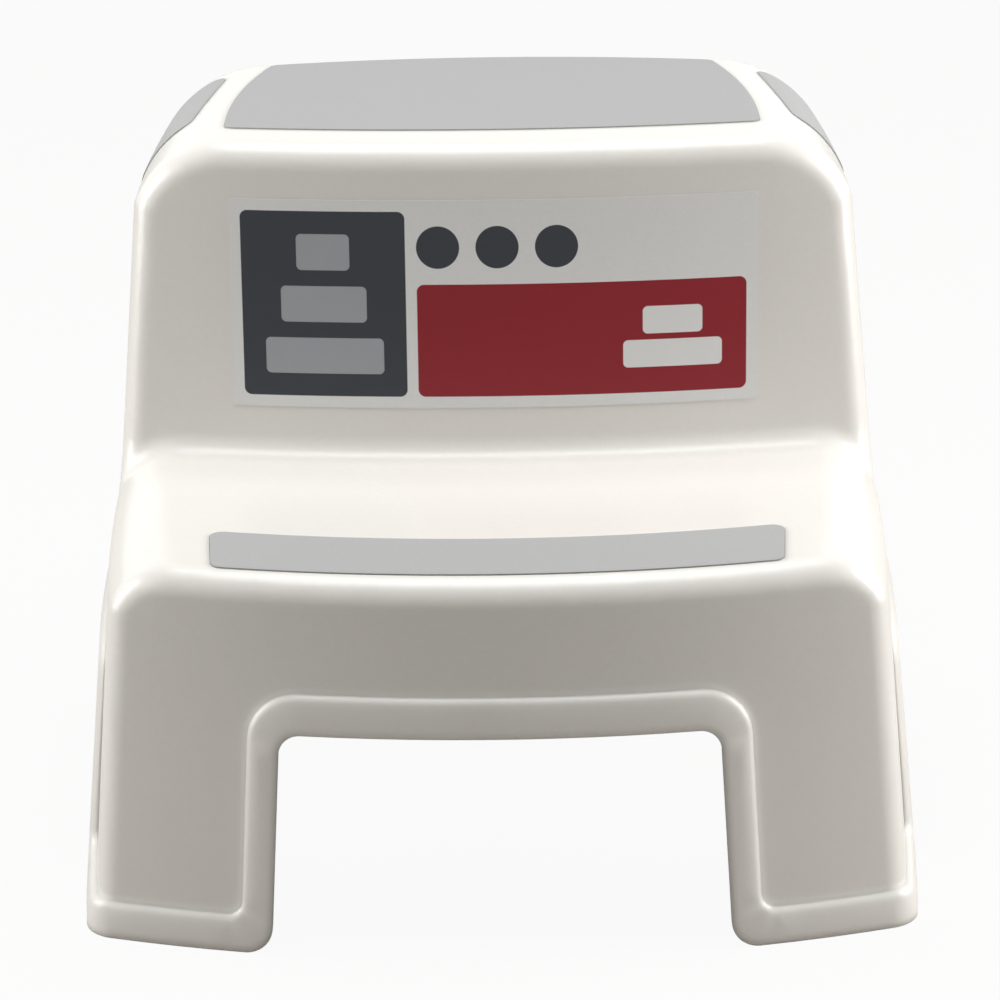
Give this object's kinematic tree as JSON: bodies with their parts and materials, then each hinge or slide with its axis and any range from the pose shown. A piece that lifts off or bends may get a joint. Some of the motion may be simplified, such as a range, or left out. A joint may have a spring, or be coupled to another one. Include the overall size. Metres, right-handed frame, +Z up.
{
  "type": "two-step stool",
  "caption": "Glossy white moulded plastic two-step stool on flared legs, with grey soft anti-slip inlays on both treads and over the shoulders, and a paper label on its riser.",
  "frame": {"origin": "on the floor, midway between the legs", "axes": "+X to the right, +Y to the back, +Z up; the lower step faces -Y"},
  "size_m": [0.3534, 0.3434, 0.2935],
  "materials": {
    "white_moulding": "glossy moulded polypropylene",
    "soft_inlay": "soft matt thermoplastic rubber",
    "label_paper": "coated paper, printed in plain colour fields"
  },
  "bodies": {
    "root": {"stool_body": "white_moulding", "top_tread_inlay": "soft_inlay", "lower_tread_inlay": "soft_inlay", "left_shoulder_grip": "soft_inlay", "right_shoulder_grip": "soft_inlay", "riser_label": "label_paper"}
  },
  "joints": []
}
